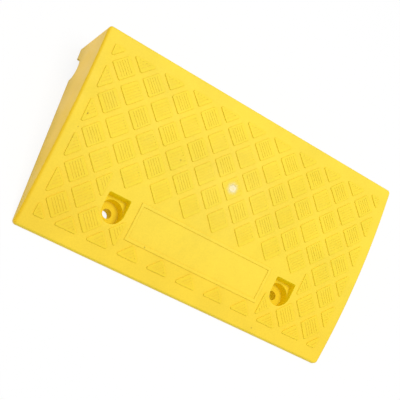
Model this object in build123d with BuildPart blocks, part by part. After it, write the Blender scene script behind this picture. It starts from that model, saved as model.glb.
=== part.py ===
from build123d import *
import os
from math import hypot, radians, sqrt, tan

# Kerb ramp moulded in plastic: a wedge with a crowned deck, hollow and ribbed underneath.
# Millimetres. X runs along the kerb, the toe is at -Y, the kerb face at +Y, the ground at Z = 0.

# Overall size
length = 500.0  # along the kerb, at the ground
depth = 270.0  # from the toe to the kerb face
height = 90.0  # deck at the kerb, before its rim is rounded
toe_height = 7.0  # deck at the toe, before its rim is rounded
crown = 12.5  # rise of the deck above the straight line from toe to kerb
end_draft = 0.8  # lean of the two end walls, in degrees
corner_radius = 5.0  # upright corners, outside
inner_corner_radius = 3.0  # upright corners of the space under the deck
rim_radius = 3.0  # all round the deck
mouth_round = 0.8  # upper edge of the pockets

# Shell and ribs
skin = 4.5  # deck thickness
wall = 4.0  # end walls and kerb wall
toe_bar_width = 14.0  # solid front edge
rib = 3.0
cross_rib_count = 6
long_rib_count = 3

# Drain arch through the end walls and the cross ribs, for gutter water or a cable
drain_radius = 17.0
drain_from_kerb = 38.0

# Bolt pockets, square at the upper end and round at the lower end
bolt_column = 2  # a pocket takes the place of a tread tile in this column from its end
bolt_from_toe = 62.5
bolt_hole = 13.5
pocket_width = 33.0
pocket_reach = 19.5  # from the bolt's axis to the square end
pocket_corner = 2.0  # corners of the square end
ledge_height = 28.5  # level floor of the square end
seat_height = 14.5  # level seat of the washer
boss_wall = 4.0

# Tread of square tiles set cornerwise
tread_columns = 10
tread_rows = 5
tread_end_margin = 17.0
tread_kerb_margin = 20.0
tread_toe_margin = 17.0
tread_clearance = 1.5  # least space from a tile to a pocket or the plaque
tile_side = 25.6
tile_height = 1.5
tile_corner = 2.0  # corners of a tile in plan
tile_round = 0.7  # upper edges of a tile
tile_frame = 2.6  # plain border of a tile
groove_count = 5
groove_pitch = 3.6
groove_width = 1.2
groove_depth = 0.5

# Blank plaque with a raised border
plaque_from_pocket = 14.0  # between a pocket and the end of the plaque
plaque_depth = 50.5
plaque_from_toe = 62.0  # to the middle of the plaque
plaque_rail = 4.5
plaque_height = 1.0
plaque_round = 0.7  # upper edges of the border

# Moulding gate scar in the middle of one tile
gate_diameter = 10.0
gate_rise = 0.1  # above the tile
gate_row = 2  # rows from the kerb

toe_y = -depth / 2
kerb_y = depth / 2
bolt_y = toe_y + bolt_from_toe
pitch_x = (length - 2 * tread_end_margin) / tread_columns
pitch_y = (depth - tread_kerb_margin - tread_toe_margin) / tread_rows
bolt_x = length / 2 - tread_end_margin - bolt_column * pitch_x
bolt_spots = [(-bolt_x, bolt_y), (bolt_x, bolt_y)]
plaque_length = 2 * (bolt_x - pocket_width / 2 - plaque_from_pocket)
plaque_y = toe_y + plaque_from_toe
drain_y = kerb_y - drain_from_kerb
clear_height = height + tile_height + plaque_height  # above everything

# The deck is an arc through the toe, the crown and the kerb
chord = hypot(depth, height - toe_height)
deck_radius = chord**2 / (8 * crown) + crown / 2
arc_y = (deck_radius - crown) * (height - toe_height) / chord
arc_z = (height + toe_height) / 2 - (deck_radius - crown) * depth / chord


def deck_point(y, lift):
    """Point in the YZ plane on the deck arc, raised square to the deck by lift."""
    return (y, arc_z + sqrt((deck_radius + lift) ** 2 - (y - arc_y) ** 2))


def under_arc(front, back, lift):
    """Face in the YZ plane between the ground and the deck arc raised by lift."""
    low = deck_point(front, lift)
    middle = deck_point((front + back) / 2, lift)
    high = deck_point(back, lift)
    with BuildSketch(Plane.YZ) as face:
        with BuildLine():
            Polyline(low, (front, 0), (back, 0), high)
            ThreePointArc(high, middle, low)
        make_face()
    return face.sketch


def between_ends(inset):
    """Face in the XZ plane between the leaning end walls, moved in by inset."""
    foot = length / 2 - inset
    head = foot - height * tan(radians(end_draft))
    with BuildSketch(Plane.XZ) as face:
        Polygon((-foot, 0), (foot, 0), (head, height), (-head, height), align=None)
    return face.sketch


def wedge(front, back, lift, inset, radius):
    """Wedge under the deck arc with leaning ends and round upright corners."""
    with BuildPart() as block:
        extrude(under_arc(front, back, lift), amount=length / 2, both=True)
        extrude(between_ends(inset), amount=depth / 2, both=True, mode=Mode.INTERSECT)
        upright = block.faces().filter_by(Axis.Y).edges().filter_by(Axis.X, reverse=True)
        fillet(upright, radius)
    return block.part


def layer(low, high):
    """Curved layer over the deck between two heights above it."""
    with BuildPart() as shell:
        extrude(under_arc(toe_y, kerb_y, high), amount=length / 2, both=True)
        extrude(under_arc(toe_y, kerb_y, low), amount=length / 2, both=True, mode=Mode.SUBTRACT)
    return shell.part


def pocket_outline(spots, grow):
    """Outline of the bolt pockets at the given spots, grown by a margin."""
    half = pocket_width / 2 + grow
    with BuildSketch() as outline:
        with Locations(*spots):
            Circle(half)
            Rectangle(2 * half, pocket_reach + grow, align=(Align.CENTER, Align.MIN))
        fillet(outline.vertices().group_by(Axis.Y)[-1], pocket_corner + grow)
    return outline.sketch


def drain_outline():
    """Outline of the drain arch, a circle whose lower half is under the ground."""
    with BuildSketch(Plane.YZ) as outline:
        with Locations((drain_y, 0)):
            Circle(drain_radius)
    return outline.sketch


# Outer shape of the whole moulding, without its tread
with BuildPart() as envelope:
    add(wedge(toe_y, kerb_y, 0, 0, corner_radius))
    deck_face = envelope.faces().filter_by(GeomType.CYLINDER).sort_by(SortBy.AREA)[-1]
    fillet(deck_face.edges(), rim_radius)

# Space under the deck
cavity = wedge(toe_y + toe_bar_width, kerb_y - wall, -skin, wall, inner_corner_radius)

# Deck with its two pocket openings
with BuildPart() as deck:
    add(envelope.part)
    extrude(under_arc(toe_y, kerb_y, -skin), amount=length / 2, both=True, mode=Mode.SUBTRACT)
    extrude(pocket_outline(bolt_spots, 0), amount=clear_height, mode=Mode.SUBTRACT)
    deck_top = deck.faces().filter_by(GeomType.CYLINDER).sort_by(SortBy.RADIUS)[-1]
    fillet([edge for mouth in deck_top.inner_wires() for edge in mouth.edges()], mouth_round)

# Ring of walls between the deck and the ground, cut into four pieces below
with BuildPart() as skirt:
    add(envelope.part)
    extrude(under_arc(toe_y, kerb_y, -skin), amount=length / 2, both=True, mode=Mode.INTERSECT)
    add(cavity, mode=Mode.SUBTRACT)
corner_x = length / 2 - height * tan(radians(end_draft)) - wall - inner_corner_radius


def end_wall(side):
    """End wall on one side, -1 or 1, with the upright corners and the drain arch."""
    with BuildPart() as piece:
        add(skirt.part)
        keep = Keep.TOP if side > 0 else Keep.BOTTOM
        split(bisect_by=Plane.YZ.offset(side * corner_x), keep=keep)
        extrude(drain_outline(), amount=length, both=True, mode=Mode.SUBTRACT)
    return piece.part


def front_or_back(align_y):
    """Straight stretch of the walls between the corners, on one side of the middle."""
    with BuildPart() as piece:
        add(skirt.part)
        with BuildSketch():
            Rectangle(2 * corner_x, depth / 2, align=(Align.CENTER, align_y))
        extrude(amount=height, mode=Mode.INTERSECT)
    return piece.part


# Ribs: cross ribs run from toe to kerb, long ribs fill the bays between them
cross_rib_spots = [length * (k / (cross_rib_count + 1) - 0.5) for k in range(1, cross_rib_count + 1)]
bay_front = toe_y + toe_bar_width
bay_depth = (kerb_y - wall - bay_front) / (long_rib_count + 1)
long_rib_spots = [bay_front + bay_depth * k for k in range(1, long_rib_count + 1)]


def cross_rib(x):
    """Web across the ramp with the drain arch cut out of it."""
    with BuildPart() as web:
        with BuildSketch():
            with Locations((x, 0)):
                Rectangle(rib, depth)
        extrude(amount=height)
        add(cavity, mode=Mode.INTERSECT)
        extrude(pocket_outline(bolt_spots, boss_wall), amount=height, mode=Mode.SUBTRACT)
        extrude(drain_outline(), amount=length, both=True, mode=Mode.SUBTRACT)
    return web.part


def long_rib(y):
    """Webs along the ramp, one between each two cross ribs, stopping at the bolt bosses."""
    with BuildPart() as web:
        with BuildSketch():
            with Locations((0, y)):
                Rectangle(length, rib)
            with Locations(*[(x, 0) for x in cross_rib_spots]):
                Rectangle(rib, depth, mode=Mode.SUBTRACT)
            add(pocket_outline(bolt_spots, boss_wall), mode=Mode.SUBTRACT)
        extrude(amount=height)
        add(cavity, mode=Mode.INTERSECT)
        extrude(drain_outline(), amount=length, both=True, mode=Mode.SUBTRACT)
    return web.part


def bolt_boss(spot):
    """Cup under a pocket: a level ledge, a round well, and a bolt hole down to the ground."""
    with BuildPart() as boss:
        extrude(pocket_outline([spot], boss_wall), amount=height)
        add(cavity, mode=Mode.INTERSECT)
        with BuildSketch(Plane.XY.offset(ledge_height)):
            add(pocket_outline([spot], 0))
        extrude(amount=height, mode=Mode.SUBTRACT)
        with Locations((*spot, ledge_height)):
            CounterBoreHole(bolt_hole / 2, pocket_width / 2, ledge_height - seat_height)
    return boss.part


# Tread lattice, counted in columns from the left end and in rows from the kerb
tile_reach = tile_side / sqrt(2)  # from a tile's middle to its corner
tread_layer = layer(0, tile_height)
groove_layer = layer(tile_height - groove_depth, tile_height + groove_depth)


def column_x(column):
    return tread_end_margin - length / 2 + column * pitch_x


def row_y(row):
    return kerb_y - tread_kerb_margin - row * pitch_y


gate_spot = (column_x(tread_columns // 2), row_y(gate_row))

# Pockets and plaque, which the tread keeps clear of
with BuildSketch() as no_tread:
    add(pocket_outline(bolt_spots, 0))
    with Locations((0, plaque_y)):
        Rectangle(plaque_length, plaque_depth)


def whole_tile():
    """Square standing on its corner."""
    Rectangle(tile_side, tile_side, rotation=45)


def half_tile():
    """Half of a tile, pointing along +X."""
    Polygon((0, -tile_reach), (tile_reach, 0), (0, tile_reach), align=None)


def corner_tile():
    """Quarter of a tile, between +X and +Y."""
    Polygon((0, 0), (tile_reach, 0), (0, tile_reach), align=None)


def tile_face(outline, x, row, turn):
    """Outline of a tile in plan, turned about its middle."""
    with BuildSketch() as face:
        with Locations(Location((x, row_y(row), 0), (0, 0, turn))):
            outline()
    return face.sketch


def with_room(outline, spots):
    """Those spots of column, row and turn where a tile clears the pockets and the plaque."""
    kept = []
    for column, row, turn in spots:
        face = tile_face(outline, column_x(column), row, turn)
        if face.distance_to(no_tread.sketch) >= tread_clearance:
            kept.append((column, row, turn))
    return kept


def tile(outline, row, turn):
    """One raised tile at X = 0 with fine grooves inside its plain border."""
    face = tile_face(outline, 0, row, turn)
    groove_turn = 45 if row % 1 else -45  # the grooves change direction from row to row
    with BuildSketch() as grooves:
        with Locations(Location((0, row_y(row), 0), (0, 0, groove_turn))):
            with GridLocations(groove_pitch, 0, groove_count, 1):
                Rectangle(groove_width, tile_side)
        offset(face, -tile_frame, kind=Kind.INTERSECTION, mode=Mode.INTERSECT)
    with BuildPart() as cuts:
        extrude(grooves.sketch, amount=clear_height)
        add(groove_layer, mode=Mode.INTERSECT)
    with BuildSketch() as rounded:
        add(face)
        fillet(rounded.vertices(), tile_corner)
    with BuildPart() as raised:
        extrude(rounded.sketch, amount=clear_height)
        add(tread_layer, mode=Mode.INTERSECT)
        top = raised.faces().filter_by(GeomType.CYLINDER).sort_by(SortBy.RADIUS)[-1]
        fillet(top.edges(), tile_round)
        add(cuts.part, mode=Mode.SUBTRACT)
    return raised.part


def tread(outline, spots):
    """Tiles of one outline at spots of column, row and turn."""
    with BuildPart() as tiles:
        for row, turn in sorted({spot[1:] for spot in spots}):
            pattern = tile(outline, row, turn)
            places = [(column_x(spot[0]), 0) for spot in spots if spot[1:] == (row, turn)]
            with Locations(*places):
                add(pattern)
    return tiles.part


# Raised border round the blank plaque
with BuildPart() as plaque_border:
    with BuildSketch():
        with Locations((0, plaque_y)):
            Rectangle(plaque_length, plaque_depth)
            inner_length = plaque_length - 2 * plaque_rail
            Rectangle(inner_length, plaque_depth - 2 * plaque_rail, mode=Mode.SUBTRACT)
        add(pocket_outline(bolt_spots, tread_clearance), mode=Mode.SUBTRACT)
    extrude(amount=clear_height)
    add(layer(0, plaque_height), mode=Mode.INTERSECT)
    border_top = plaque_border.faces().filter_by(GeomType.CYLINDER).sort_by(SortBy.RADIUS)[-1]
    fillet(border_top.edges(), plaque_round)

# Flat scar left by the moulding gate
with BuildPart() as gate_scar:
    with BuildSketch():
        with Locations(gate_spot):
            Circle(gate_diameter / 2)
    extrude(amount=clear_height)
    add(layer(0, tile_height + gate_rise), mode=Mode.INTERSECT)

pieces = {
    "deck": deck.part,
    "left_end_wall": end_wall(-1),
    "right_end_wall": end_wall(1),
    "kerb_wall": front_or_back(Align.MIN),
    "toe_bar": front_or_back(Align.MAX),
    "left_bolt_boss": bolt_boss(bolt_spots[0]),
    "right_bolt_boss": bolt_boss(bolt_spots[1]),
    "plaque_border": plaque_border.part,
    "gate_scar": gate_scar.part,
}
for number, x in enumerate(cross_rib_spots, start=1):
    pieces[f"cross_rib_{number}"] = cross_rib(x)
for number, y in enumerate(long_rib_spots, start=1):
    pieces[f"long_rib_{number}"] = long_rib(y)

# Rows of whole tiles, half a row apart and each moved half a column from the last.
# Where a whole tile has no room, the half that points away from the middle takes its place.
treads = {}
half_spots = []
for number in range(1, 2 * tread_rows):
    first_step = 1 if number % 2 else 2
    row_spots = [(step / 2, number / 2, 0) for step in range(first_step, 2 * tread_columns, 2)]
    whole_spots = with_room(whole_tile, row_spots)
    treads[f"tread_row_{number}"] = (whole_tile, whole_spots)
    for column, row, turn in row_spots:
        if (column, row, turn) not in whole_spots:
            half_spots.append((column, row, 180 if column < tread_columns / 2 else 0))
treads["tread_half_tiles"] = (half_tile, with_room(half_tile, half_spots))

# Half tiles along the four borders, quarter tiles in the corners
inner_columns = range(1, tread_columns)
inner_rows = range(1, tread_rows)
borders = {
    "tread_kerb_border": [(column, 0, -90) for column in inner_columns],
    "tread_toe_border": [(column, tread_rows, 90) for column in inner_columns],
    "tread_left_border": [(0, row, 0) for row in inner_rows],
    "tread_right_border": [(tread_columns, row, 180) for row in inner_rows],
}
for name, border_spots in borders.items():
    treads[name] = (half_tile, with_room(half_tile, border_spots))
corners = [
    (0, tread_rows, 0),
    (tread_columns, tread_rows, 90),
    (tread_columns, 0, 180),
    (0, 0, 270),
]
treads["tread_corners"] = (corner_tile, corners)

# A node is made where at least one of its tiles has room
for name, (outline, spots) in treads.items():
    if spots:
        pieces[name] = tread(outline, spots)

# The tile with the gate scar is open round it
gate_tread = f"tread_row_{2 * gate_row}"
with BuildPart() as opened_tread:
    add(pieces[gate_tread])
    with Locations(gate_spot):
        Cylinder(gate_diameter / 2, 2 * clear_height, mode=Mode.SUBTRACT)
pieces[gate_tread] = opened_tread.part

os.makedirs("parts", exist_ok=True)
for name, piece in pieces.items():
    piece.label = name
    export_step(piece, f"parts/{name}.step")
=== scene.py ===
from collections import namedtuple
from math import cos, hypot, pi, sin, sqrt

import bmesh
import bpy
from mathutils import Matrix, Vector, noise


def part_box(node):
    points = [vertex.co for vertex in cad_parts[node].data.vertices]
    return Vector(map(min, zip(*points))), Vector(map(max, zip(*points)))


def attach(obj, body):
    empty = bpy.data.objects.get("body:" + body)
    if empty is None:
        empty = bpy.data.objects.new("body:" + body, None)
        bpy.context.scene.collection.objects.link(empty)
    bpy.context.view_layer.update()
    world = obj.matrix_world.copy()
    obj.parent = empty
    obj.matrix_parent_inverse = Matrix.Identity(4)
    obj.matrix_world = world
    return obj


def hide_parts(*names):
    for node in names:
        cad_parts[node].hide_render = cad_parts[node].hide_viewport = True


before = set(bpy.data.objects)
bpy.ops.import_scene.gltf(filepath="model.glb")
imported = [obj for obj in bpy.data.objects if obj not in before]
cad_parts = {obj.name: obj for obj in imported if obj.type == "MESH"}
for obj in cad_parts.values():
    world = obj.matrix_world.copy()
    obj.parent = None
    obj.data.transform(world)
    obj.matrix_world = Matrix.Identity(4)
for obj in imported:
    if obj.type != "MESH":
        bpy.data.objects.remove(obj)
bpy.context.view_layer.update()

# Sizes in metres, in the ramp's own frame: X along the kerb, the toe at -Y, the ground at Z = 0
LENGTH = 0.500
DEPTH = 0.270
HEIGHT = 0.090
TOE_HEIGHT = 0.007
CROWN = 0.0125  # rise of the deck's arc over its chord
CHORD = hypot(DEPTH, HEIGHT - TOE_HEIGHT)
DECK_RADIUS = CHORD**2 / (8 * CROWN) + CROWN / 2
ARC_Y = (DECK_RADIUS - CROWN) * (HEIGHT - TOE_HEIGHT) / CHORD
ARC_Z = (HEIGHT + TOE_HEIGHT) / 2 - (DECK_RADIUS - CROWN) * DEPTH / CHORD
TILE_HEIGHT = 0.0015
DRAIN_RADIUS = 0.017
DRAIN_INSET = 0.038  # from the kerb face to the middle of the drain
DRAIN_Y = DEPTH / 2 - DRAIN_INSET
BOLT_X = 0.1398  # one bolt on either side of the middle
BOLT_Y = -0.0725
POCKET_HALF_LENGTH = 0.0172
POCKET_HALF_DEPTH = 0.0202
EDGE_WIDTH = 0.004  # strip of the deck that counts as its outer edge

# Torn stub of the moulding gate
GATE_RADIUS = 0.005
STUB_SHARE = 0.995  # of the gate's radius
STUB_RISE = 0.0001  # over the tiles
STUB_RINGS = 12
STUB_SEGMENTS = 48
CRATER_DEPTH = 0.00035
TEAR_HEIGHT = 0.00012
TEAR_SCALE = 900

# Middle of the gate, and the plaque's field
scar_low, scar_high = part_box("gate_scar")
gate_spot = tuple((scar_low + scar_high).xy / 2)
plaque_low, plaque_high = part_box("plaque_border")
plaque_middle = (plaque_low + plaque_high) / 2
plaque_half = (plaque_high - plaque_low) / 2

# Camera, from a fit to the photograph
CAMERA_PLACE = (-0.5180, -0.4674, 1.0605)
CAMERA_RIGHT = Vector((0.8100, 0.2791, 0.5158))
CAMERA_UP = Vector((-0.4284, 0.8822, 0.1954))
FOCAL_LENGTH = 80.13  # millimetres
SENSOR_WIDTH = 36  # millimetres

# Light levels: 1 renders a colour as it is written
SKY_LEVEL = 0.57
KEY_LEVEL = 0.54
KEY_PLACE = Vector((0.14, 0.03, 2.08))
KEY_SIZE = 0.9
FILL_LEVEL = 0.06
FILL_PLACE = Vector((-2.0, -0.2, 0.4))
FILL_SIZE = 1.2

# Background: the camera sees it white, and the floor's white is mixed with its shadow
WHITE = (1, 1, 1, 1)
WHITE_LEVEL = 1.0
FLOOR_SIZE = 12
FLOOR_DROP = 0.0005  # under the ground, so that it doesn't meet the ramp's foot
FLOOR_COLOUR = (0.95, 0.95, 0.95, 1)
NEAR_GLOW = 0.88  # share of the floor's own white near the ramp
FAR_GLOW = 1.0  # and far from it
GLOW_SPAN = (0.6, 1.8)  # distances from the ramp's middle
TUNNEL_SPAN = (LENGTH / 2 - 0.06, LENGTH / 2 - 0.018)  # in the drain, from no glow to full glow
DARK_RADIUS = 0.03  # no glow this near the right bolt

# Colours, linear
YELLOW = (0.905, 0.68, 0.052, 1)
TREAD_YELLOW = (0.891, 0.675, 0.0405, 1)
# painted shade: upright faces of the deck and tread
SIDE_SHADE_YELLOW = (0.85, 0.645, 0.026, 1)
# painted shade: upright faces of the plaque's border
PLAQUE_SIDE_SHADE = (0.72, 0.50, 0.010, 1)
# painted shade on the left rim, where the deck rounds over into the wall
RIM_SHADE_YELLOW = (0.86, 0.54, 0.012, 1)
# painted shade: upright faces of the walls, and the deck's sheer outer edges
WALL_SHADE_YELLOW = (0.905, 0.58, 0.012, 1)
# painted sheen: upright faces of the walls turn paler towards the kerb
KERB_SHEEN_YELLOW = (0.955, 0.63, 0.075, 1)
# painted shade: the toe's upright face
EDGE_SHADE_YELLOW = (0.95, 0.65, 0.045, 1)
SEAT_YELLOW = (0.855, 0.63, 0.026, 1)
# painted shade: the orange of upright faces in the pockets and on the bosses and ribs
POCKET_SHADE_YELLOW = (0.98, 0.76, 0.003, 1)
PALE_YELLOW = (0.92, 0.74, 0.14, 1)
WHITENED = (0.84, 0.735, 0.34, 1)
TORN_PALE = (0.885, 0.785, 0.47, 1)
TORN_YELLOW = (0.875, 0.72, 0.27, 1)
# painted shade in corners and creases
CREVICE_SHADE = (0.66, 0.42, 0.02, 1)
GRIME = (0.30, 0.17, 0.02, 1)
# darker, in patches, near the ground
GROUND_DARKENING = (0.34, 0.33, 0.03, 1)

# Tints that the deck's colour is multiplied by
TOE_TINT = (1.044, 0.981, 0.885, 1)
LEFT_TINT = (0.99, 0.97, 0.92, 1)
GATE_TINT = (1.0, 1.0, 1.22, 1)
PLAQUE_TINT = (1.0, 1.015, 1.12, 1)

# Roughness, specular level and strength of the grain
DECK_SURFACE = (0.56, 0.18, 0.10)
WALL_SURFACE = (0.50, 0.42, 0.12)
TOE_SURFACE = (0.50, 0.45, 0.12)
INNER_SURFACE = (0.55, 0.03, 0.06)

# Spans over which a colour changes, and its shares at the ends of a span
TOE_SPAN = (-0.125, 0.0)  # across the ramp
KERB_SPAN = (-0.10, 0.12)
LEFT_SPAN = (-0.25, -0.15)  # along the ramp
RIM_SPAN = (0.001 - LENGTH / 2, 0.006 - LENGTH / 2)
LOW_SPAN = (0.004, 0.034)  # over the ground
GATE_SPAN = (0.03, 0.10)  # from the gate
HALO_SPAN = (0.0095, 0.0150)
HALO_SHARES = (0.85, 0.0)
FADE_IN = (0.0, 1.0)
FADE_OUT = (1.0, 0.0)

# Spans of the upward part of a face's normal, over which upright faces and sheer edges take their
# painted shade
SIDE_SPAN = (0.45, 0.87)
SHEER_SPAN = (0.25, 0.75)

# Worn edges, found by a rounded normal that leaves the face's own, and painted shade in the
# corners
WORN_RADIUS = 0.0012
WORN_SPAN = (0.99, 0.80)
WORN_SAMPLES = 6
CORNER_SHADE_REACH = 0.003
CORNER_SHADE_SPAN = (0.55, 0.95)
CORNER_SHADE_SHARES = (0.10, 0.0)
CORNER_SHADE_SAMPLES = 8

# Noise patterns: scale per metre, detail, the span of the noise that counts, and the values there
Pattern = namedtuple("Pattern", "scale detail span values roughness", defaults=(0.5,))
CLOUDS = Pattern(14.0, 4.0, (0.3, 0.7), (0.965, 1.02))
SPECKLE = Pattern(420.0, 2.0, (0.25, 0.75), (0.975, 1.02))
STREAKS = Pattern(9.0, 3.0, (0.3, 0.7), (0.985, 1.01))
LOW_PATCHES = Pattern(45.0, 4.0, (0.3, 0.7), (0.108, 0.252))
WEAR = Pattern(60.0, 3.0, (0.35, 0.65), (0.05, 0.30))
GLOSS_CHANGE = Pattern(35.0, 4.0, (0.3, 0.7), (-0.05, 0.06))
TORN_PATCHES = Pattern(450.0, 4.0, (0.40, 0.66), (0.0, 0.8), 0.6)
TORN_ROUGHNESS = Pattern(900.0, 2.0, (0.3, 0.7), (0.5, 0.75))

# Bumps: the grain of the mould, a slight waviness, and the torn face of the gate stub
GRAIN_SCALE = 1500.0
GRAIN_DETAIL = 2.0
GRAIN_DEPTH = 0.0002
WAVE_SCALE = 26.0
WAVE_DETAIL = 2.0
WAVE_STRENGTH = 0.10
WAVE_DEPTH = 0.002
TORN_SCALE = 1100.0
TORN_DETAIL = 3.0
TORN_STRENGTH = 0.5
TORN_DEPTH = 0.0004

# Dark specks on the deck: place in plan, radius and strength
SPECKS = [
    ((-0.2287, 0.0175), 0.0014, 0.90),
    ((-0.2319, -0.0018), 0.0012, 0.40),
    ((-0.2325, -0.0166), 0.0009, 0.30),
    ((-0.0783, -0.0960), 0.0012, 0.50),
    ((0.1238, -0.1282), 0.0012, 0.50),
    ((-0.0867, 0.0216), 0.0018, 0.35),
]
SPECK_CORE = 0.3  # of the radius, at full strength
SPECK_RIM = 1.2  # of the radius, where the speck ends
CRUMBLE_SCALE = 700.0  # noise that breaks up the specks and the whitening round the gate
CRUMBLE_DETAIL = 3.0
CRUMBLE_MIDDLE = 0.5
SPECK_SMUDGE = 0.003
HALO_SMUDGE = 0.010


def deck_z(y):
    """Height of the deck at a place across the ramp."""
    return ARC_Z + sqrt(DECK_RADIUS**2 - (y - ARC_Y) ** 2)


def feed(tree, socket, value):
    """Sets an input socket to a value, or links it to the output socket that feeds it."""
    if isinstance(value, bpy.types.NodeSocket):
        tree.links.new(value, socket)
    else:
        socket.default_value = value


def node(tree, kind, inputs=None, **settings):
    """New shader node with its settings and inputs."""
    made = tree.nodes.new(kind)
    for name, value in settings.items():
        setattr(made, name, value)
    for name, value in (inputs or {}).items():
        feed(tree, made.inputs[name], value)
    return made


def math(tree, operation, first, second=0.0, third=0.0):
    """Output of a math node."""
    inputs = {0: first, 1: second, 2: third}
    return node(tree, "ShaderNodeMath", inputs, operation=operation).outputs[0]


def fold(tree, operation, first, *others):
    """Output of math nodes that take in one value after another."""
    for other in others:
        first = math(tree, operation, first, other)
    return first


def vector_math(tree, operation, first, second=(0, 0, 0)):
    """Outputs of a vector math node."""
    return node(tree, "ShaderNodeVectorMath", {0: first, 1: second}, operation=operation).outputs


def parts(tree, vector):
    """X, Y and Z of a vector."""
    return node(tree, "ShaderNodeSeparateXYZ", {0: vector}).outputs


def remap(tree, value, span, values):
    """Output of a smooth map from a span to the values at its ends, held beyond them."""
    inputs = {"Value": value, "From Min": span[0], "From Max": span[1],
              "To Min": values[0], "To Max": values[1]}
    return node(tree, "ShaderNodeMapRange", inputs, interpolation_type="SMOOTHSTEP").outputs[0]


def noise_value(tree, place, scale, detail, roughness=0.5):
    """Value of a noise texture, about 0.5 on average."""
    inputs = {"Vector": place, "Scale": scale, "Detail": detail, "Roughness": roughness}
    return node(tree, "ShaderNodeTexNoise", inputs).outputs[0]


def pattern_value(tree, place, pattern):
    """Value of a noise pattern."""
    value = noise_value(tree, place, pattern.scale, pattern.detail, pattern.roughness)
    return remap(tree, value, pattern.span, pattern.values)


def mix_colour(tree, share, first, second, blend="MIX"):
    """Output of a colour mix. Its sockets go by number, because their names aren't unique."""
    inputs = {0: share, 6: first, 7: second}
    return node(tree, "ShaderNodeMix", inputs, data_type="RGBA", blend_type=blend).outputs[2]


def plan_distance(tree, place, spot):
    """Distance in plan from a spot, with the height left out."""
    flat = vector_math(tree, "MULTIPLY", place, (1, 1, 0))[0]
    return vector_math(tree, "DISTANCE", flat, (*spot, 0))["Value"]


def shown_as_it_is(tree):
    """1 for rays that show the background: from the camera, off gloss and through glass."""
    rays = node(tree, "ShaderNodeLightPath").outputs
    kinds = ("Is Camera Ray", "Is Glossy Ray", "Is Transmission Ray")
    return fold(tree, "MAXIMUM", *(rays[kind] for kind in kinds))


def new_material(name):
    """New material, its node tree and its main shader."""
    material = bpy.data.materials.new(name)
    material.use_nodes = True
    tree = material.node_tree
    return material, tree, tree.nodes["Principled BSDF"]


def pigment_shade(tree, place):
    """Soft clouds, fine speckle and streaks that run away from the gate, as a grey."""
    from_gate = vector_math(tree, "SUBTRACT", place, (*gate_spot, 0))[0]
    heading = vector_math(tree, "NORMALIZE", from_gate)[0]
    clouds = pattern_value(tree, place, CLOUDS)
    speckle = pattern_value(tree, place, SPECKLE)
    streaks = pattern_value(tree, heading, STREAKS)
    shade = fold(tree, "MULTIPLY", clouds, speckle, streaks)
    return node(tree, "ShaderNodeCombineColor", {0: shade, 1: shade, 2: shade}).outputs[0]


def deck_top(tree, place, base):
    """Colour of the deck: warmer at the toe, deeper at the left, paler at the gate and plaque."""
    along, across, _ = parts(tree, place)
    from_gate = plan_distance(tree, place, gate_spot)
    plaque_along = math(tree, "COMPARE", along, plaque_middle.x, plaque_half.x)
    plaque_across = math(tree, "COMPARE", across, plaque_middle.y, plaque_half.y)
    tints = [
        (remap(tree, across, TOE_SPAN, FADE_OUT), TOE_TINT),
        (remap(tree, along, LEFT_SPAN, FADE_OUT), LEFT_TINT),
        (remap(tree, from_gate, GATE_SPAN, FADE_OUT), GATE_TINT),
        (math(tree, "MULTIPLY", plaque_along, plaque_across), PLAQUE_TINT),
    ]
    for share, tint in tints:
        base = mix_colour(tree, share, base, tint, "MULTIPLY")
    return base


def deck_side(tree, place, side):
    """Colour of the deck's upright faces, a painted shade, with the pockets' orange painted shade
    in their openings.
    """
    along, across, _ = parts(tree, place)
    off_bolt = math(tree, "SUBTRACT", math(tree, "ABSOLUTE", along), BOLT_X)
    pocket_along = math(tree, "COMPARE", off_bolt, 0.0, POCKET_HALF_LENGTH)
    pocket_across = math(tree, "COMPARE", across, BOLT_Y, POCKET_HALF_DEPTH)
    in_pocket = math(tree, "MULTIPLY", pocket_along, pocket_across)
    return mix_colour(tree, in_pocket, side, POCKET_SHADE_YELLOW)


def deck_rim(tree, place, upward, colour):
    """Painted shade: a deeper left rim, and outer edges in the walls' shaded colour where they
    are sheer.
    """
    along, across, _ = parts(tree, place)
    colour = mix_colour(tree, remap(tree, along, RIM_SPAN, FADE_OUT), colour, RIM_SHADE_YELLOW)
    off_middle = math(tree, "ABSOLUTE", along)
    past_end = math(tree, "GREATER_THAN", off_middle, LENGTH / 2 - EDGE_WIDTH)
    past_kerb = math(tree, "GREATER_THAN", across, DEPTH / 2 - EDGE_WIDTH)
    sheer = remap(tree, upward, SHEER_SPAN, FADE_OUT)
    outer = math(tree, "MULTIPLY", math(tree, "MAXIMUM", past_end, past_kerb), sheer)
    return mix_colour(tree, outer, colour, WALL_SHADE_YELLOW)


def deck_marks(tree, place, colour):
    """Whitening round the gate, broken up towards its rim, and the dark specks."""
    crumble = noise_value(tree, place, CRUMBLE_SCALE, CRUMBLE_DETAIL)
    ragged = math(tree, "MULTIPLY", crumble, HALO_SMUDGE)
    reach = math(tree, "ADD", plan_distance(tree, place, gate_spot), ragged)
    colour = mix_colour(tree, remap(tree, reach, HALO_SPAN, HALO_SHARES), colour, WHITENED)
    off_middle = math(tree, "SUBTRACT", crumble, CRUMBLE_MIDDLE)
    smudge = math(tree, "MULTIPLY", off_middle, SPECK_SMUDGE)
    for spot, radius, strength in SPECKS:
        reach = math(tree, "ADD", plan_distance(tree, place, spot), smudge)
        span = (SPECK_CORE * radius, SPECK_RIM * radius)
        colour = mix_colour(tree, remap(tree, reach, span, (strength, 0.0)), colour, GRIME)
    return colour


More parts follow.
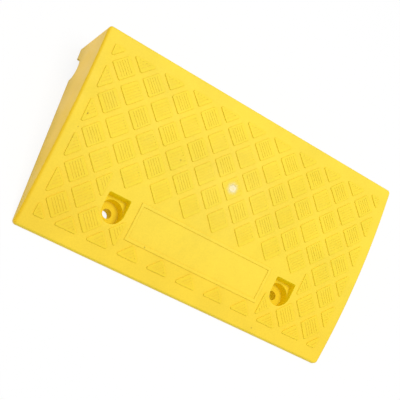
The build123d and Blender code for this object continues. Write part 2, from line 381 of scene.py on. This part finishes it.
def wear_and_corner_shade(tree, place, true_normal, colour):
    """Edges rubbed a little paler, and painted shade in the corners."""
    soft_normal = node(tree, "ShaderNodeBevel", {"Radius": WORN_RADIUS}, samples=WORN_SAMPLES)
    facing = vector_math(tree, "DOT_PRODUCT", soft_normal.outputs[0], true_normal)["Value"]
    edge = remap(tree, facing, WORN_SPAN, FADE_IN)
    worn = math(tree, "MULTIPLY", edge, pattern_value(tree, place, WEAR))
    colour = mix_colour(tree, worn, colour, PALE_YELLOW)
    # painted shade: ambient occlusion darkens the corners
    corners = node(tree, "ShaderNodeAmbientOcclusion", {"Distance": CORNER_SHADE_REACH},
                   samples=CORNER_SHADE_SAMPLES)
    corner_shade = remap(tree, corners.outputs["AO"], CORNER_SHADE_SPAN, CORNER_SHADE_SHARES)
    return mix_colour(tree, corner_shade, colour, CREVICE_SHADE)


def grained_normal(tree, place, grain):
    """Normal with a spark-eroded grain over a slight waviness."""
    grainy = node(tree, "ShaderNodeBump", {
        "Strength": grain,
        "Distance": GRAIN_DEPTH,
        "Height": noise_value(tree, place, GRAIN_SCALE, GRAIN_DETAIL),
    })
    wavy = node(tree, "ShaderNodeBump", {
        "Strength": WAVE_STRENGTH,
        "Distance": WAVE_DEPTH,
        "Height": noise_value(tree, place, WAVE_SCALE, WAVE_DETAIL),
        "Normal": grainy.outputs[0],
    })
    return wavy.outputs[0]


def moulded_plastic(name, base, side, surface, deck=False, wall=False):
    """Moulded plastic with cloudy pigment, faint flow lines from the gate and a fine grain.

    base is the colour of faces that look up and side that of upright ones, a painted shade. The
    deck has tints and marks. The walls turn paler towards the kerb, a painted sheen, and darker
    in patches near the ground.
    """
    roughness, specular, grain = surface
    material, tree, shader = new_material(name)
    place = node(tree, "ShaderNodeTexCoord").outputs["Object"]
    _, across, height = parts(tree, place)
    true_normal = node(tree, "ShaderNodeNewGeometry").outputs["True Normal"]
    upward = parts(tree, true_normal)[2]

    if deck:
        base = deck_top(tree, place, base)
        side = deck_side(tree, place, side)
    if wall:
        # painted sheen on the walls towards the kerb
        side = mix_colour(tree, remap(tree, across, KERB_SPAN, FADE_IN), side, KERB_SHEEN_YELLOW)
    # painted shade: upright faces take the darker side colour
    colour = mix_colour(tree, remap(tree, upward, SIDE_SPAN, FADE_OUT), base, side)
    if deck:
        colour = deck_rim(tree, place, upward, colour)
    colour = mix_colour(tree, 1.0, colour, pigment_shade(tree, place), "MULTIPLY")
    if wall:
        # walls darker in patches near the ground
        low = remap(tree, height, LOW_SPAN, FADE_OUT)
        darkened = math(tree, "MULTIPLY", pattern_value(tree, place, LOW_PATCHES), low)
        colour = mix_colour(tree, darkened, colour, GROUND_DARKENING)
    colour = wear_and_corner_shade(tree, place, true_normal, colour)
    if deck:
        colour = deck_marks(tree, place, colour)

    levels = [roughness + change for change in GLOSS_CHANGE.values]
    gloss = pattern_value(tree, place, GLOSS_CHANGE._replace(values=levels))
    feed(tree, shader.inputs["Base Color"], colour)
    feed(tree, shader.inputs["Roughness"], gloss)
    feed(tree, shader.inputs["Specular IOR Level"], specular)
    feed(tree, shader.inputs["Normal"], grained_normal(tree, place, grain))
    return material


def whitened_plastic(name):
    """Torn, stress-whitened plastic of the gate stub."""
    material, tree, shader = new_material(name)
    place = node(tree, "ShaderNodeTexCoord").outputs["Object"]
    patches = pattern_value(tree, place, TORN_PATCHES)
    torn = node(tree, "ShaderNodeBump", {
        "Strength": TORN_STRENGTH,
        "Distance": TORN_DEPTH,
        "Height": noise_value(tree, place, TORN_SCALE, TORN_DETAIL),
    })
    feed(tree, shader.inputs["Base Color"], mix_colour(tree, patches, TORN_PALE, TORN_YELLOW))
    feed(tree, shader.inputs["Roughness"], pattern_value(tree, place, TORN_ROUGHNESS))
    feed(tree, shader.inputs["Normal"], torn.outputs[0])
    return material


def gate_stub(spot):
    """Low torn disc where the moulding gate was broken off, square to the deck."""
    x, y = spot
    normal = Vector((0, y - ARC_Y, deck_z(y) - ARC_Z)).normalized()
    across = Vector((1, 0, 0))
    place = Matrix((across, normal.cross(across), normal)).transposed().to_4x4()
    place.translation = Vector((x, y, deck_z(y)))
    mesh = bmesh.new()

    def top_point(ring, segment):
        share = ring / STUB_RINGS
        angle = 2 * pi * segment / STUB_SEGMENTS
        radius = STUB_SHARE * GATE_RADIUS * share
        flat = Vector((radius * cos(angle), radius * sin(angle), 0))
        crater = CRATER_DEPTH * (1 - share) ** 2
        tear = TEAR_HEIGHT * noise.noise(flat * TEAR_SCALE) * (1 - share**4)
        return place @ Vector((flat.x, flat.y, TILE_HEIGHT + STUB_RISE - crater + tear))

    middle = mesh.verts.new(top_point(0, 0))
    loops = [[mesh.verts.new(top_point(ring, segment)) for segment in range(STUB_SEGMENTS)]
             for ring in range(1, STUB_RINGS + 1)]
    foot = [mesh.verts.new(vert.co - normal * TILE_HEIGHT) for vert in loops[-1]]
    loops.append(foot)
    for segment in range(STUB_SEGMENTS):
        after = (segment + 1) % STUB_SEGMENTS
        mesh.faces.new((middle, loops[0][segment], loops[0][after]))
        for inner, outer in zip(loops, loops[1:]):
            mesh.faces.new((inner[segment], outer[segment], outer[after], inner[after]))
    mesh.faces.new(list(reversed(foot)))
    for face in mesh.faces:
        face.smooth = len(face.verts) < STUB_SEGMENTS
    data = bpy.data.meshes.new("gate_stub")
    mesh.to_mesh(data)
    mesh.free()
    made = bpy.data.objects.new("gate_stub", data)
    bpy.context.scene.collection.objects.link(made)
    return made


def dress(names, material):
    """Gives CAD nodes a finished material."""
    for name in names:
        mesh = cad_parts[name].data
        mesh.materials.clear()
        mesh.materials.append(material)


def floor():
    """Pale floor that looks white to the camera and keeps a soft shadow.

    It doesn't glow under the right bolt, nor inside the drain apart from a stretch at each end.
    """
    bpy.ops.mesh.primitive_plane_add(size=FLOOR_SIZE, location=(0, 0, -FLOOR_DROP))
    made = bpy.context.object
    made.name = "floor"
    material, tree, _ = new_material("floor")
    tree.nodes.clear()
    place = node(tree, "ShaderNodeNewGeometry").outputs["Position"]
    along, across, _ = parts(tree, place)
    off_drain = math(tree, "ABSOLUTE", math(tree, "SUBTRACT", across, DRAIN_Y))
    past_side = math(tree, "GREATER_THAN", off_drain, DRAIN_RADIUS)
    past_end = remap(tree, math(tree, "ABSOLUTE", along), TUNNEL_SPAN, FADE_IN)
    from_bolt = plan_distance(tree, place, (BOLT_X, BOLT_Y))
    off_bolt = math(tree, "GREATER_THAN", from_bolt, DARK_RADIUS)
    outside = math(tree, "MULTIPLY", math(tree, "MAXIMUM", past_side, past_end), off_bolt)
    from_middle = plan_distance(tree, place, (0, 0))
    level = remap(tree, from_middle, GLOW_SPAN, (NEAR_GLOW, FAR_GLOW))
    share = fold(tree, "MULTIPLY", shown_as_it_is(tree), outside, level)
    matte = node(tree, "ShaderNodeBsdfDiffuse", {"Color": FLOOR_COLOUR}).outputs[0]
    white = {"Color": WHITE, "Strength": WHITE_LEVEL}
    glow = node(tree, "ShaderNodeEmission", white).outputs[0]
    both = node(tree, "ShaderNodeMixShader", {0: share, 1: matte, 2: glow}).outputs[0]
    node(tree, "ShaderNodeOutputMaterial", {"Surface": both})
    made.data.materials.append(material)


def sky():
    """Even studio light, white where the camera sees past the floor."""
    world = bpy.data.worlds.new("studio")
    bpy.context.scene.world = world
    world.use_nodes = True
    tree = world.node_tree
    inputs = {"Value": shown_as_it_is(tree), "To Min": SKY_LEVEL, "To Max": WHITE_LEVEL}
    level = node(tree, "ShaderNodeMapRange", inputs).outputs[0]
    background = tree.nodes["Background"]
    feed(tree, background.inputs["Color"], WHITE)
    feed(tree, background.inputs["Strength"], level)


def soft_lamp(name, level, place, size):
    """Square lamp that faces the ramp and lights it at the given level."""
    lamp = bpy.data.lights.new(name, "AREA")
    lamp.size = size
    lamp.energy = level * pi**2 * place.length_squared
    made = bpy.data.objects.new(name, lamp)
    made.location = place
    made.rotation_euler = (-place).to_track_quat("-Z", "Y").to_euler()
    bpy.context.scene.collection.objects.link(made)


def camera():
    """Camera at the photograph's angle."""
    lens = bpy.data.cameras.new("camera")
    lens.sensor_width = SENSOR_WIDTH
    lens.lens = FOCAL_LENGTH
    made = bpy.data.objects.new("camera", lens)
    right = CAMERA_RIGHT.normalized()
    back = right.cross(CAMERA_UP).normalized()
    turn = Matrix((right, back.cross(right), back)).transposed().to_4x4()
    made.matrix_world = Matrix.Translation(CAMERA_PLACE) @ turn
    bpy.context.scene.collection.objects.link(made)
    bpy.context.scene.camera = made


tread_nodes = [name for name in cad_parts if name.startswith("tread_")]
rib_nodes = [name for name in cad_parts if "_rib_" in name]
wall_nodes = ["left_end_wall", "right_end_wall", "kerb_wall"]
boss_nodes = ["left_bolt_boss", "right_bolt_boss"]

dress(["deck"], moulded_plastic(
    "deck_plastic", YELLOW, SIDE_SHADE_YELLOW, DECK_SURFACE, deck=True))
dress(tread_nodes, moulded_plastic(
    "tread_plastic", TREAD_YELLOW, SIDE_SHADE_YELLOW, DECK_SURFACE, deck=True))
dress(["plaque_border"], moulded_plastic(
    "plaque_plastic", YELLOW, PLAQUE_SIDE_SHADE, DECK_SURFACE, deck=True))
dress(wall_nodes, moulded_plastic(
    "wall_plastic", YELLOW, WALL_SHADE_YELLOW, WALL_SURFACE, wall=True))
dress(["toe_bar"], moulded_plastic(
    "toe_plastic", YELLOW, EDGE_SHADE_YELLOW, TOE_SURFACE))
dress([*boss_nodes, *rib_nodes], moulded_plastic(
    "inner_plastic", SEAT_YELLOW, POCKET_SHADE_YELLOW, INNER_SURFACE))

stub = gate_stub(gate_spot)
stub.data.materials.append(whitened_plastic("whitened_plastic"))
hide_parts("gate_scar")
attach(stub, "root")

floor()
sky()
soft_lamp("key", KEY_LEVEL, KEY_PLACE, KEY_SIZE)
soft_lamp("fill", FILL_LEVEL, FILL_PLACE, FILL_SIZE)
camera()
bpy.context.scene.view_settings.view_transform = "Standard"
